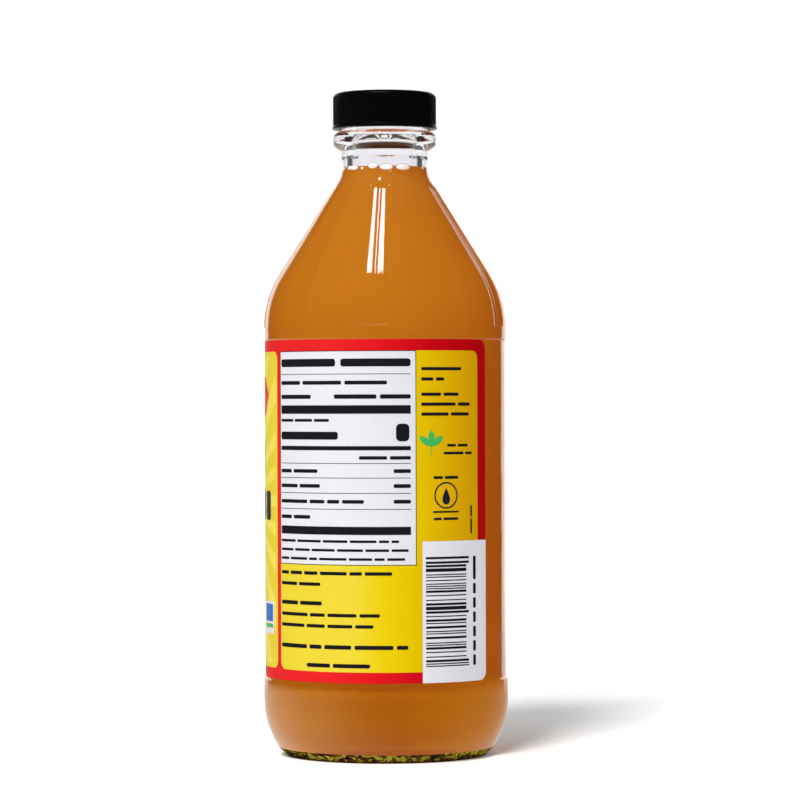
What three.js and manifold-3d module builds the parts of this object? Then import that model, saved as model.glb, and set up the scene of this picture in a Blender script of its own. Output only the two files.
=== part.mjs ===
// A round glass bottle of cloudy amber vinegar, with a knurled screw cap and a wraparound label.
// Millimetres, +Z up. The origin is the centre of the foot. Angles turn from -Y towards +X.
import * as THREE from "three";
import { mergeVertices } from "three/addons/utils/BufferGeometryUtils.js";
import Module from "manifold-3d";

const wasm = await Module();
wasm.setup();

// Outside of the glass, from the foot up
const glass = {
  pushUp: 4.0, // rise of the hollow under the base
  pushUpFlat: 15.0,
  pushUpFillet: 20.0,
  footInner: 25.5,
  footOuter: 28.6,
  baseEdgeRadius: 31.3, // sharp edge between the foot and the heel
  baseEdgeHeight: 2.6,
  heelRadius: 35.4,
  heelCorner: 9.2,
  heelFillet: 27.3,
  heelTop: 22.2,
  panelRadius: 34.75, // the band that carries the label is slightly recessed
  panelBottom: 22.9,
  panelTop: 120.2,
  shoulderRadius: 35.2,
  shoulderBottom: 121.0,
  shoulderCorner: 132.0,
  shoulderFillet: 29.0,
  neckRadius: 12.4,
  neckCorner: 168.3,
  neckFillet: 8.0,
  neckTop: 172.9,
  beadRadius: 15.1, // transfer bead under the cap
  beadFootRadius: 12.8,
  beadFoot: 175.1,
  beadBottom: 176.8,
  beadTop: 180.3,
  beadFillet: 1.4,
  finishRadius: 12.6, // plain wall inside the cap
  finishBottom: 180.6,
  lip: 190.1,
  lipFillet: 0.8,
};

// Inside of the glass
const cavity = {
  floorCentre: 7.4, // the floor domes up over the hollow under the base
  floorFlat: 14.0,
  floorFillet: 25.0,
  floorEdge: 5.2,
  floorEdgeRadius: 21.0,
  heelFillet: 10.0,
  radius: 32.35,
  shoulderCorner: 132.2,
  shoulderFillet: 27.0,
  neckRadius: 9.7,
  neckCorner: 168.2,
  neckFillet: 8.0,
  columns: 40, // facets round every smooth inside
};

// Shallow flutes that run down the shoulder
const flute = {
  angles: [-151.6, -116.8, -82.1, -47.3, -5.2, 32.0, 69.2, 104.0, 138.8, 173.6], // degrees to their middles
  columns: 8, // columns of the mesh from one flute to the next
  depth: 0.42,
  floorHalf: 0.25, // half the width of the flat floor at the axis
  floorGain: 0.053, // what that gains with each millimetre of radius
  wall: 1.8, // width of each sloping side
  bottom: 123.9,
  blunt: 0.5, // height of the lower end's step
  top: 165.6,
  fade: 2.2, // length over which the upper end runs out
};

const vinegar = { level: 170.3, clearance: 0.3 };

const cap = {
  bottom: 181.1,
  top: 192.0,
  flangeRadius: 15.35,
  flangeTop: 182.3,
  grooveRadius: 14.75, // waist between the flange and the knurling
  grooveHeight: 182.8,
  ribRadius: 15.1,
  ribDepth: 0.3,
  ribCount: 100,
  ribBottom: 183.1,
  ribTop: 190.5,
  crownFillet: 1.3,
  boreRadius: 13.2,
  boreTop: 190.5,
};

const label = {
  bottom: 23.1,
  top: 120.0,
  thickness: 0.3,
  gap: 0.15, // between the paper and the glass
  rightEnd: 55.2, // degrees, the end that the information panel runs to
  wrap: 310, // degrees of the bottle's girth that it covers
  cornerRadius: 2.6,
  columns: 72,
};

const arcTolerance = 0.1; // how far a chord may leave its arc
const overcut = 1.5; // how far a cutting solid runs past the face that it opens
const weld = 1e-4; // points closer than this are one point
const neckBelow = 12; // columns keep their angles inside this radius

// Points of a profile given as [radius, height, fillet] corners, with each fillet as an arc.
function profileOf(corners) {
  const place = ([radius, height]) => new THREE.Vector2(radius, height);
  return corners.flatMap((given, i) => {
    const corner = place(given);
    const fillet = given[2] ?? 0;
    if (fillet === 0) return [corner];
    const before = place(corners[i - 1]).sub(corner).normalize();
    const after = place(corners[i + 1]).sub(corner).normalize();
    const halfAngle = Math.acos(before.dot(after)) / 2;
    const middle = before.clone().add(after).normalize();
    const centre = corner.clone().addScaledVector(middle, fillet / Math.sin(halfAngle));
    const turn = Math.PI - 2 * halfAngle;
    const steps = Math.max(2, Math.ceil(turn / (2 * Math.acos(1 - arcTolerance / fillet))));
    const start = corner.clone().addScaledVector(before, fillet / Math.tan(halfAngle)).sub(centre);
    const way = Math.sign(before.cross(after)) * -1;
    return Array.from({ length: steps + 1 }, (_, k) =>
      start.clone().rotateAround(new THREE.Vector2(), (way * turn * k) / steps).add(centre),
    );
  });
}

// The same profile with extra points where it crosses the given rising heights on its way up.
function withRings(points, heights) {
  return points.flatMap((point, i) => {
    const next = points[i + 1];
    if (!next) return [point];
    const crossed = heights.filter((height) => point.y < height && height < next.y);
    const share = (height) => (height - point.y) / (next.y - point.y);
    return [point, ...crossed.map((height) => point.clone().lerp(next, share(height)))];
  });
}

// A lathed solid standing on +Z. place(radius, height, column) gives each point's own radius and angle.
function lathe(points, columns, place) {
  const geometry = new THREE.LatheGeometry(points, columns);
  const position = geometry.getAttribute("position");
  for (let column = 0; place && column <= columns; column++) {
    points.forEach((point, row) => {
      const [radius, angle] = place(point.x, point.y, column);
      position.setXYZ(
        column * points.length + row,
        radius * Math.sin(angle),
        point.y,
        radius * Math.cos(angle),
      );
    });
  }
  return geometry.rotateX(Math.PI / 2);
}

// A closed geometry as a solid that can be cut, and back again.
function solidOf(geometry) {
  const bare = new THREE.BufferGeometry().setAttribute("position", geometry.getAttribute("position"));
  bare.setIndex(geometry.getIndex());
  const merged = mergeVertices(bare, weld);
  const triVerts = new Uint32Array(merged.getIndex().array);
  const vertProperties = merged.getAttribute("position").array;
  return new wasm.Manifold(new wasm.Mesh({ numProp: 3, vertProperties, triVerts }));
}

function geometryOf(solid) {
  const { vertProperties, triVerts } = solid.getMesh();
  const geometry = new THREE.BufferGeometry();
  geometry.setAttribute("position", new THREE.BufferAttribute(vertProperties, 3));
  geometry.setIndex(new THREE.BufferAttribute(triVerts, 1));
  geometry.computeVertexNormals();
  return geometry;
}

const cut = (body, hollow) => geometryOf(solidOf(body).subtract(solidOf(hollow)));

// Share of its full depth that a flute has at a height: a blunt lower end and a fading upper one.
function fluteShare(height) {
  const fromBottom = (height - flute.bottom) / flute.blunt;
  const fromTop = (flute.top - height) / flute.fade;
  return THREE.MathUtils.clamp(Math.min(fromBottom, fromTop), 0, 1);
}

// Columns stand on a flute's middle, the edges of its floor and walls, and across the land to the next flute.
function flutedPlace(radius, height, column) {
  const count = flute.angles.length;
  const sector = Math.floor(column / flute.columns) % count;
  const step = column % flute.columns;
  const [here, next] = [flute.angles[sector], flute.angles[(sector + 1) % count]];
  const pitch = THREE.MathUtils.degToRad(THREE.MathUtils.euclideanModulo(next - here, 360));
  const girth = Math.max(radius, neckBelow);
  const half = flute.floorHalf + flute.floorGain * girth;
  const floor = half / girth;
  const wall = (half + flute.wall) / girth;
  const land = (wall + pitch / 2) / 2;
  const steps = [0, floor, wall, land, pitch / 2, pitch - land, pitch - wall, pitch - floor];
  const edgeDepth = flute.depth - half ** 2 / (2 * girth); // keeps the floor flat
  const depths = [flute.depth, edgeDepth, 0, 0, 0, 0, 0, edgeDepth];
  return [radius - depths[step] * fluteShare(height), THREE.MathUtils.degToRad(here) + steps[step]];
}

function bottleGlass() {
  const outside = profileOf([
    [0, glass.pushUp],
    [glass.pushUpFlat, glass.pushUp, glass.pushUpFillet],
    [glass.footInner, 0],
    [glass.footOuter, 0],
    [glass.baseEdgeRadius, glass.baseEdgeHeight],
    [glass.heelRadius, glass.heelCorner, glass.heelFillet],
    [glass.heelRadius, glass.heelTop],
    [glass.panelRadius, glass.panelBottom],
    [glass.panelRadius, glass.panelTop],
    [glass.shoulderRadius, glass.shoulderBottom],
    [glass.shoulderRadius, glass.shoulderCorner, glass.shoulderFillet],
    [glass.neckRadius, glass.neckCorner, glass.neckFillet],
    [glass.neckRadius, glass.neckTop],
    [glass.beadFootRadius, glass.beadFoot],
    [glass.beadRadius, glass.beadBottom, glass.beadFillet],
    [glass.beadRadius, glass.beadTop, glass.beadFillet],
    [glass.finishRadius, glass.finishBottom],
    [glass.finishRadius, glass.lip, glass.lipFillet],
    [0, glass.lip],
  ]);
  const ends = [flute.bottom, flute.bottom + flute.blunt, flute.top - flute.fade, flute.top];
  const body = lathe(withRings(outside, ends), flute.angles.length * flute.columns, flutedPlace);
  return cut(body, lathe(insideProfile(0, glass.lip + overcut), cavity.columns));
}

// The inside of the glass, drawn in by a clearance and shut at a height.
function insideProfile(clearance, top) {
  const wall = cavity.radius - clearance;
  const bore = cavity.neckRadius - clearance;
  const floor = cavity.floorEdge + clearance;
  const whole = profileOf([
    [0, cavity.floorCentre + clearance],
    [cavity.floorFlat, cavity.floorCentre + clearance, cavity.floorFillet],
    [cavity.floorEdgeRadius, floor],
    [wall, floor, cavity.heelFillet],
    [wall, cavity.shoulderCorner, cavity.shoulderFillet],
    [bore, cavity.neckCorner, cavity.neckFillet],
    [bore, glass.lip + overcut],
  ]);
  const kept = withRings(whole, [top]).filter((point) => point.y < top + weld);
  return [...kept, new THREE.Vector2(0, top)];
}

function vinegarFill() {
  return lathe(insideProfile(vinegar.clearance, vinegar.level), cavity.columns);
}

function screwCap() {
  const grooved = (height) => height >= cap.ribBottom && height <= cap.ribTop;
  const columns = 2 * cap.ribCount; // one on each rib and one in each groove
  const knurledPlace = (radius, height, column) => [
    radius - (column % 2 && grooved(height) ? cap.ribDepth : 0),
    (2 * Math.PI * column) / columns,
  ];
  const body = profileOf([
    [0, cap.bottom],
    [cap.flangeRadius, cap.bottom],
    [cap.flangeRadius, cap.flangeTop],
    [cap.grooveRadius, cap.grooveHeight],
    [cap.ribRadius, cap.ribBottom],
    [cap.ribRadius, cap.ribTop],
    [cap.ribRadius, cap.top, cap.crownFillet],
    [0, cap.top],
  ]);
  const bore = profileOf([
    [0, cap.bottom - overcut],
    [cap.boreRadius, cap.bottom - overcut],
    [cap.boreRadius, cap.boreTop],
    [0, cap.boreTop],
  ]);
  return cut(lathe(body, columns, knurledPlace), lathe(bore, cavity.columns));
}

// A flat sheet bent round the panel, with its corners rounded off.
function labelSheet() {
  const inner = glass.panelRadius + label.gap;
  const span = THREE.MathUtils.degToRad(label.wrap);
  const right = THREE.MathUtils.degToRad(label.rightEnd);
  const height = label.top - label.bottom;
  const sheet = new THREE.BoxGeometry(span * inner, label.thickness, height, label.columns, 1, 1);
  const position = sheet.getAttribute("position");
  for (let i = 0; i < position.count; i++) {
    const fromEnd = (span * inner) / 2 - Math.abs(position.getX(i));
    const intoCorner = THREE.MathUtils.clamp(label.cornerRadius - fromEnd, 0, label.cornerRadius);
    const cornerCut = label.cornerRadius - Math.sqrt(label.cornerRadius ** 2 - intoCorner ** 2);
    const angle = right - span / 2 + position.getX(i) / inner;
    const radius = inner + label.thickness / 2 - position.getY(i);
    const half = Math.sign(position.getZ(i)) * (height / 2 - cornerCut);
    position.setXYZ(
      i,
      radius * Math.sin(angle),
      -radius * Math.cos(angle),
      (label.top + label.bottom) / 2 + half,
    );
  }
  return sheet;
}

function piece(name, geometry, color, roughness, extra = {}) {
  const material = new THREE.MeshStandardMaterial({ color, roughness, metalness: 0, ...extra });
  const mesh = new THREE.Mesh(geometry, material);
  mesh.name = name;
  return mesh;
}

const bottle = new THREE.Group();
bottle.add(
  piece("bottle_glass", bottleGlass(), 0xe9edea, 0.05, { transparent: true, opacity: 0.3 }),
  piece("vinegar", vinegarFill(), 0xbf7118, 0.3),
  piece("screw_cap", screwCap(), 0x0c0c10, 0.4),
  piece("label", labelSheet(), 0xf2d40f, 0.4),
);

export default bottle;
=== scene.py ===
import math
import random

import bmesh
import bpy
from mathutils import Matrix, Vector


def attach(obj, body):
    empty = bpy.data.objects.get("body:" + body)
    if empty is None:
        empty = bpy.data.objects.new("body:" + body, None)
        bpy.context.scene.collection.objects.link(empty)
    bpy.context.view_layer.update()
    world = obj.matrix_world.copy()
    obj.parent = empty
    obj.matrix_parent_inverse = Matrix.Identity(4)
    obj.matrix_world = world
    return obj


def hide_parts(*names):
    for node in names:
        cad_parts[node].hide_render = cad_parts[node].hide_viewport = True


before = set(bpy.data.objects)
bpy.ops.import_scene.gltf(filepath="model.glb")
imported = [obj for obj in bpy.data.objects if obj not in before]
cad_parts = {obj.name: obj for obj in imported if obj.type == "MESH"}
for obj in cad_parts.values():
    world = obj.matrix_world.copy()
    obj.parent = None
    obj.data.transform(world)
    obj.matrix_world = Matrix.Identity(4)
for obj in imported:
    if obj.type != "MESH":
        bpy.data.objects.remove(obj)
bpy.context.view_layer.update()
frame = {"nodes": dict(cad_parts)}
scene = bpy.context.scene
print("frame loaded:", ", ".join(frame["nodes"]))

# sizes are in millimetres, angles in degrees from -Y towards +X, unless a note says otherwise
mm = 0.001


# camera, level with the middle of the bottle

cameraSizes = {
    "distance": 1040.0,
    "height": 102.7,
    "sideways": 4.25,
    "roll": 0.17,  # degrees
    "lens": 160.8,
    "sensor": 36.0,
    "clipEnd": 20.0,  # metres
}


def makeCamera():
    data = bpy.data.cameras.new("photoCamera")
    data.lens = cameraSizes["lens"]
    data.sensor_width = cameraSizes["sensor"]
    data.clip_end = cameraSizes["clipEnd"]
    camera = bpy.data.objects.new("photoCamera", data)
    camera.location = (
        cameraSizes["sideways"] * mm,
        -cameraSizes["distance"] * mm,
        cameraSizes["height"] * mm,
    )
    camera.rotation_euler = (math.radians(90), math.radians(cameraSizes["roll"]), 0)
    scene.collection.objects.link(camera)
    scene.camera = camera


makeCamera()
print("camera ready")


# node helpers


def addNode(tree, kind, **settings):
    node = tree.nodes.new(kind)
    for key, value in settings.items():
        setattr(node, key, value)
    return node


def link(tree, output, target):
    tree.links.new(output, target)


def newGroup(name, inputs, outputs):
    group = bpy.data.node_groups.new(name, "ShaderNodeTree")
    for socketName, default in inputs.items():
        kind = "NodeSocketColor" if isinstance(default, tuple) else "NodeSocketFloat"
        socket = group.interface.new_socket(socketName, in_out="INPUT", socket_type=kind)
        socket.default_value = default
    for socketName, kind in outputs.items():
        group.interface.new_socket(socketName, in_out="OUTPUT", socket_type=kind)
    return group, addNode(group, "NodeGroupInput"), addNode(group, "NodeGroupOutput")


def placeGroup(tree, group, **values):
    node = addNode(tree, "ShaderNodeGroup", node_tree=group)
    for key, value in values.items():
        node.inputs[key].default_value = value
    return node


def newMaterial(name, sockets):
    material = bpy.data.materials.new(name)
    material.use_nodes = True
    tree = material.node_tree
    shader = tree.nodes["Principled BSDF"]
    for key, value in sockets.items():
        shader.inputs[key].default_value = value
    return material, tree, shader


# puts a number or a colour on a socket, or links an output to it
def fill(tree, socket, value):
    if isinstance(value, (int, float, tuple)):
        socket.default_value = value
    else:
        link(tree, value, socket)


def maths(tree, operation, *values):
    node = addNode(tree, "ShaderNodeMath", operation=operation)
    for socket, value in zip(node.inputs, values):
        fill(tree, socket, value)
    return node.outputs[0]


def mixed(tree, kind, factor, first, second, **settings):
    node = addNode(tree, "ShaderNodeMix", data_type=kind, **settings)
    for key, value in (("Factor", factor), ("A", first), ("B", second)):
        fill(tree, node.inputs[key], value)
    return node.outputs["Result"]


def ramped(tree, value, start, end, low=0.0, high=1.0, kind="LINEAR"):
    node = addNode(tree, "ShaderNodeMapRange", interpolation_type=kind)
    numbers = {"Value": value, "From Min": start, "From Max": end, "To Min": low, "To Max": high}
    for key, number in numbers.items():
        fill(tree, node.inputs[key], number)
    return node.outputs["Result"]


def noiseValue(tree, place, size, detail, distortion=0.0):
    node = addNode(tree, "ShaderNodeTexNoise")
    numbers = {"Vector": place, "Scale": size, "Detail": detail, "Distortion": distortion}
    for key, number in numbers.items():
        fill(tree, node.inputs[key], number)
    return node.outputs["Fac"]


def addBump(tree, shader, height, strength, distance):
    bump = addNode(tree, "ShaderNodeBump")
    for key, value in (("Strength", strength), ("Distance", distance), ("Height", height)):
        fill(tree, bump.inputs[key], value)
    link(tree, bump.outputs["Normal"], shader.inputs["Normal"])


# a colour ramp with stops at (value, colour), driven by a number that runs from the first to the last
def addRamp(tree, value, stops):
    first, last = stops[0][0], stops[-1][0]
    ramp = addNode(tree, "ShaderNodeValToRGB")
    marks = ramp.color_ramp.elements
    while len(marks) < len(stops):
        marks.new(0.5)
    for mark, (spot, color) in zip(marks, stops):
        mark.position = (spot - first) / (last - first)
        mark.color = color
    link(tree, ramped(tree, value, first, last), ramp.inputs[0])
    return ramp.outputs["Color"]


def objectPlace(tree):
    place = addNode(tree, "ShaderNodeTexCoord").outputs["Object"]
    split = addNode(tree, "ShaderNodeSeparateXYZ")
    link(tree, place, split.inputs[0])
    return place, split


# soft patches of lighter and darker colour, with a fine grain in the gloss
def makeMottle():
    group, given, result = newGroup(
        "mottle",
        {
            "Color": (0.8, 0.8, 0.8, 1),
            "Depth": 0.1,
            "Patch": 60.0,
            "Grain": 1500.0,
            "Gloss": 0.4,
            "Spread": 0.1,
        },
        {"Color": "NodeSocketColor", "Roughness": "NodeSocketFloat", "Height": "NodeSocketFloat"},
    )
    darkest = (0.3, 0.3, 0.3, 1)  # what the deepest patches are multiplied by
    place = addNode(group, "ShaderNodeTexCoord").outputs["Object"]
    patches = noiseValue(group, place, given.outputs["Patch"], detail=3)
    grain = noiseValue(group, place, given.outputs["Grain"], detail=3)
    share = maths(group, "MULTIPLY", patches, given.outputs["Depth"])
    color = mixed(group, "RGBA", share, given.outputs["Color"], darkest, blend_type="MULTIPLY")
    centred = maths(group, "SUBTRACT", grain, 0.5)
    gloss = maths(group, "MULTIPLY_ADD", centred, given.outputs["Spread"], given.outputs["Gloss"])
    for key, output in (("Color", color), ("Roughness", gloss), ("Height", grain)):
        link(group, output, result.inputs[key])
    return group


# slow waves that moulded glass has, which the glued paper follows
def makeWaves():
    group, given, result = newGroup("mouldWaves", {"Size": 40.0}, {"Height": "NodeSocketFloat"})
    place = addNode(group, "ShaderNodeTexCoord").outputs["Object"]
    link(group, noiseValue(group, place, given.outputs["Size"], detail=1), result.inputs["Height"])
    return group


mottle = makeMottle()
mouldWaves = makeWaves()


# gives a shader's colour the mottle; the colour is plain or changes over the surface
def addMottle(tree, shader, color, **values):
    node = placeGroup(tree, mottle, **values)
    fill(tree, node.inputs["Color"], color)
    link(tree, node.outputs["Color"], shader.inputs["Base Color"])
    return node


print("shader groups ready")


# mesh helpers


def addPiece(name, points, faces, material):
    mesh = bpy.data.meshes.new(name)
    mesh.from_pydata(points, [], faces)
    mesh.polygons.foreach_set("use_smooth", [True] * len(mesh.polygons))
    mesh.materials.append(material)
    mesh.update()
    piece = bpy.data.objects.new(name, mesh)
    scene.collection.objects.link(piece)
    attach(piece, "root")
    return piece


# points of a profile given as (radius, height, fillet) corners, every fillet an arc in steps of arcTurn
def filletProfile(corners, arcTurn, longest, fewest=4):
    points = []
    for index, (radius, height, fillet) in enumerate(corners):
        if fillet == 0:
            points.append((radius, height))
            continue
        before = (corners[index - 1][0] - radius, corners[index - 1][1] - height)
        after = (corners[index + 1][0] - radius, corners[index + 1][1] - height)
        angleIn = math.atan2(before[1], before[0])
        angleOut = math.atan2(after[1], after[0])
        between = (angleOut - angleIn + math.pi) % (2 * math.pi) - math.pi
        middle = angleIn + between / 2
        reach = fillet / math.sin(abs(between) / 2)
        centre = (radius + reach * math.cos(middle), height + reach * math.sin(middle))
        turn = math.copysign(math.pi - abs(between), between)
        start = middle + math.pi + turn / 2
        steps = max(fewest, math.ceil(math.degrees(abs(turn)) / arcTurn))
        for step in range(steps + 1):
            angle = start - turn * step / steps
            points.append((centre[0] + fillet * math.cos(angle), centre[1] + fillet * math.sin(angle)))
    return closerRows(points, longest)


# adds rows where the profile's steps are too long: all along it, or in a band on the way up to its top
def closerRows(profile, longest, band=None):
    top = max(range(len(profile)), key=lambda row: profile[row][1])
    fine = [profile[0]]
    for row, (start, end) in enumerate(zip(profile, profile[1:])):
        wanted = band is None or (row < top and all(band[0] < point[1] < band[1] for point in (start, end)))
        parts = max(1, math.ceil(math.dist(start, end) / longest)) if wanted else 1
        for part in range(1, parts + 1):
            fine.append(tuple(a + (b - a) * part / parts for a, b in zip(start, end)))
    return fine


# a surface of revolution; place gives each point its own radius, height and angle
def revolve(profile, columns, place):
    points, rings = [], []
    for row, (radius, height) in enumerate(profile):
        if radius < 1e-6:
            rings.append([len(points)] * columns)
            points.append((0, 0, height * mm))
            continue
        rings.append(range(len(points), len(points) + columns))
        for column in range(columns):
            ownRadius, ownHeight, angle = place(row, radius, height, column)
            points.append((
                ownRadius * math.sin(angle) * mm,
                -ownRadius * math.cos(angle) * mm,
                ownHeight * mm,
            ))
    faces = []
    for low, high in zip(rings, rings[1:]):
        for column in range(columns):
            after = (column + 1) % columns
            corners = [low[column], low[after], high[after], high[column]]
            faces.append(list(dict.fromkeys(corners)))
    return points, faces


def smoothStep(value):
    value = min(1.0, max(0.0, value))
    return value * value * (3 - 2 * value)


# glass bottle

glassSizes = {
    "outside": [  # radius, height, fillet
        (0, 4.0, 0),
        (15.0, 4.0, 20.0),
        (25.5, 0.0, 0.8),
        (28.6, 0.0, 0.8),
        (31.3, 2.6, 0.35),
        (35.4, 9.2, 25.5),
        (35.4, 22.3, 0.06),
        (34.8, 22.9, 0.15),
        (34.8, 120.0, 0.1),
        (35.05, 120.4, 0.3),
        (35.3, 132.0, 29.0),
        (12.4, 168.3, 8.0),
        (12.4, 172.5, 0.15),
        (12.85, 173.2, 0.15),
        (12.8, 175.1, 0.4),
        (15.1, 176.8, 1.6),
        (15.1, 180.3, 1.5),
        (12.6, 180.6, 0.4),
        (12.6, 190.1, 0),
    ],
    "inside": [
        (9.7, 190.1, 0),
        (9.7, 168.2, 8.0),
        (32.35, 132.2, 27.0),
        (32.35, 5.2, 10.0),
        (21.0, 5.2, 4.0),
        (14.0, 7.4, 16.0),
        (0, 7.4, 0),
    ],
    "fluteAngles": (-151.6, -116.8, -82.1, -47.3, -5.2, 32.0, 69.2, 104.0, 138.8, 173.6),
    "fluteStart": 14.5,  # radius where the flutes are narrowest
    "fluteHollow": (0.9, 0.003),  # half the hollow in the floor there, and what it gains with the radius
    "fluteFlat": (0.12, 0.05),  # flat floor on each side of the hollow
    "hollowDepth": 0.05,  # share of the hollow's half width
    "fluteWall": 1.8,
    "fluteDepth": 0.42,
    "fluteCorner": 0.02,  # width of the column on each side of a flute's edge
    "fluteWidest": 15.0,  # degrees, half of a flute near the axis
    "fluteBottom": 123.9,
    "fluteBlunt": 0.2,  # height of its lower end's slope
    "fluteTop": 165.4,
    "fluteFade": 1.8,  # height over which it runs out at the top
    "columnsInFlute": 33,
    "columnsBetween": 10,
    "rowsAlong": (4.0, 4.0, 1.5),  # reach below and above the flutes, longest step
    "rowsAtBottom": [(1.2, 1.6, 0.3), (0.4, 0.7, 0.08)],  # the same round their lower ends
    "rowsAtTop": (3.4, 0.8, 0.4),
    "stepSeed": 4,
    "stepWaves": (2, 3, 5, 8, 13, 21, 34, 47),  # turns of the uneven step under the bead
    "stepSizes": (0.012, 0.045),
    "stepStarts": (0, 6.28),  # radians
    "stepHeights": (172.3, 173.5),
    "slopeHeights": (172.3, 175.2),  # at the back the step is a long slope
    "slopeRadius": (12.4, 12.8),
}


def flutedPlace(radius, height, column):
    sizes = glassSizes
    angles = sizes["fluteAngles"]
    sector, step = divmod(column, sizes["columnsInFlute"] + sizes["columnsBetween"])
    pitch = math.radians((angles[(sector + 1) % len(angles)] - angles[sector]) % 360)
    grown = max(radius - sizes["fluteStart"], 0)
    hollow, flat = (start + gain * grown for start, gain in (sizes["fluteHollow"], sizes["fluteFlat"]))
    floor = hollow + flat
    girth = max(radius, 1)  # keeps clear of the axis
    edge = min(math.radians(sizes["fluteWidest"]), (floor + sizes["fluteWall"]) / girth)
    corner = sizes["fluteCorner"] / girth
    offset, width, columns = -edge, 2 * edge, sizes["columnsInFlute"]
    if step >= columns:
        step -= columns
        offset, width, columns = edge, pitch - 2 * edge, sizes["columnsBetween"]
    if step > 0:
        offset += corner + (width - 2 * corner) * (step - 1) / (columns - 2)
    aside = abs(offset) * radius
    upWall = min(max((aside - floor) / sizes["fluteWall"], 0), 1)
    flatFloor = sizes["fluteDepth"] - min(aside, floor) ** 2 / (2 * girth)
    sunk = flatFloor * (1 - upWall ** 2)
    if aside < hollow:
        sunk += sizes["hollowDepth"] * hollow * (0.5 + 0.5 * math.cos(math.pi * aside / hollow))
    sunk *= smoothStep((height - sizes["fluteBottom"]) / sizes["fluteBlunt"])
    sunk *= smoothStep((sizes["fluteTop"] - height) / sizes["fluteFade"])
    return radius - sunk, math.radians(angles[sector]) + offset


def makeGlassMesh():
    sizes = glassSizes
    draw = random.Random(sizes["stepSeed"])
    columns = len(sizes["fluteAngles"]) * (sizes["columnsInFlute"] + sizes["columnsBetween"])
    profile = filletProfile(sizes["outside"], arcTurn=6.0, longest=30.0)
    profile += filletProfile(sizes["inside"], arcTurn=15.0, longest=30.0)
    bottom, top = sizes["fluteBottom"], sizes["fluteTop"]
    bands = [(bottom, top, sizes["rowsAlong"])]
    bands += [(bottom, bottom, band) for band in sizes["rowsAtBottom"]]
    bands.append((top, top, sizes["rowsAtTop"]))
    for low, high, (below, above, step) in bands:
        profile = closerRows(profile, step, (low - below, high + above))
    heights = [height for radius, height in profile]
    lipRow = heights.index(max(heights))
    stepLow, stepHigh = sizes["stepHeights"]
    slopeLow, slopeHigh = sizes["slopeHeights"]
    slopeIn, slopeOut = sizes["slopeRadius"]
    waves = []
    for turns in sizes["stepWaves"]:
        size = draw.uniform(*sizes["stepSizes"])
        waves.append((size, turns, draw.uniform(*sizes["stepStarts"])))

    def place(row, radius, height, column):
        ownRadius, angle = flutedPlace(radius, height if row < lipRow else 0, column)
        if row < lipRow and slopeLow < height < slopeHigh:
            share = (height - slopeLow) / (slopeHigh - slopeLow)
            slope = slopeIn + (slopeOut - slopeIn) * share
            behind = smoothStep(0.5 - 1.5 * math.cos(angle))  # none in front, all at the back
            ownRadius += (slope - ownRadius) * behind
        if row < lipRow and stepLow < height < stepHigh:
            height += sum(size * math.sin(turns * angle + start) for size, turns, start in waves)
        return ownRadius, height, angle

    return revolve(profile, columns, place)


def makeGlassMaterial():
    material, tree, shader = newMaterial(
        "clearGlass",
        {"Base Color": (1, 1, 1, 1), "Roughness": 0.0, "IOR": 1.5, "Transmission Weight": 1.0},
    )
    waves = placeGroup(tree, mouldWaves, Size=90.0)
    addBump(tree, shader, waves.outputs["Height"], strength=0.25, distance=0.0006)
    lampPath = addNode(tree, "ShaderNodeLightPath")
    letThrough = addNode(tree, "ShaderNodeBsdfTransparent")
    mix = addNode(tree, "ShaderNodeMixShader")
    link(tree, lampPath.outputs["Is Shadow Ray"], mix.inputs[0])
    link(tree, shader.outputs[0], mix.inputs[1])
    link(tree, letThrough.outputs[0], mix.inputs[2])
    link(tree, mix.outputs[0], tree.nodes["Material Output"].inputs["Surface"])
    return material


glassPoints, glassFaces = makeGlassMesh()
glass = addPiece("clear_bottle", glassPoints, glassFaces, makeGlassMaterial())
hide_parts("bottle_glass")
print("glass:", len(glassFaces), "faces")


# rough band between the foot and the heel, where the glass shows dark and yellow-green; these are painted
# shadow and painted light in the band's colour, with a painted contact shadow along its lower edge

footSizes = {
    "inner": (28.75, 0.03),  # radius, height
    "outer": (31.34, 2.55),
    "thickness": 0.06,
    "rows": 14,
    "columns": 720,
    "bump": 0.05,
    "slant": 0.7,  # share of a bump that goes in, and up
    "seed": 9,
    "fineNoise": 620.0,
    "wideNoise": 60.0,
    "drift": (0.5, -0.25),  # gain and offset of the wide noise
    # painted contact shadow along the band's lower edge
    "contactShadowColor": (0.045, 0.016, 0.004, 1),
    "contactShadowHeights": (0.2, 1.1),  # where that colour starts to fade and where it is gone
    # painted shade and light: dark patches stand in for the shaded floor seen through the stippled glass,
    # yellow-green ones for light through glass and vinegar
    "colors": [  # noise, colour
        (0.36, (0.006, 0.005, 0.006, 1)),
        (0.45, (0.075, 0.030, 0.006, 1)),
        (0.52, (0.13, 0.105, 0.010, 1)),
        (0.58, (0.50, 0.46, 0.035, 1)),
        (0.68, (0.20, 0.085, 0.012, 1)),
    ],
}


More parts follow.
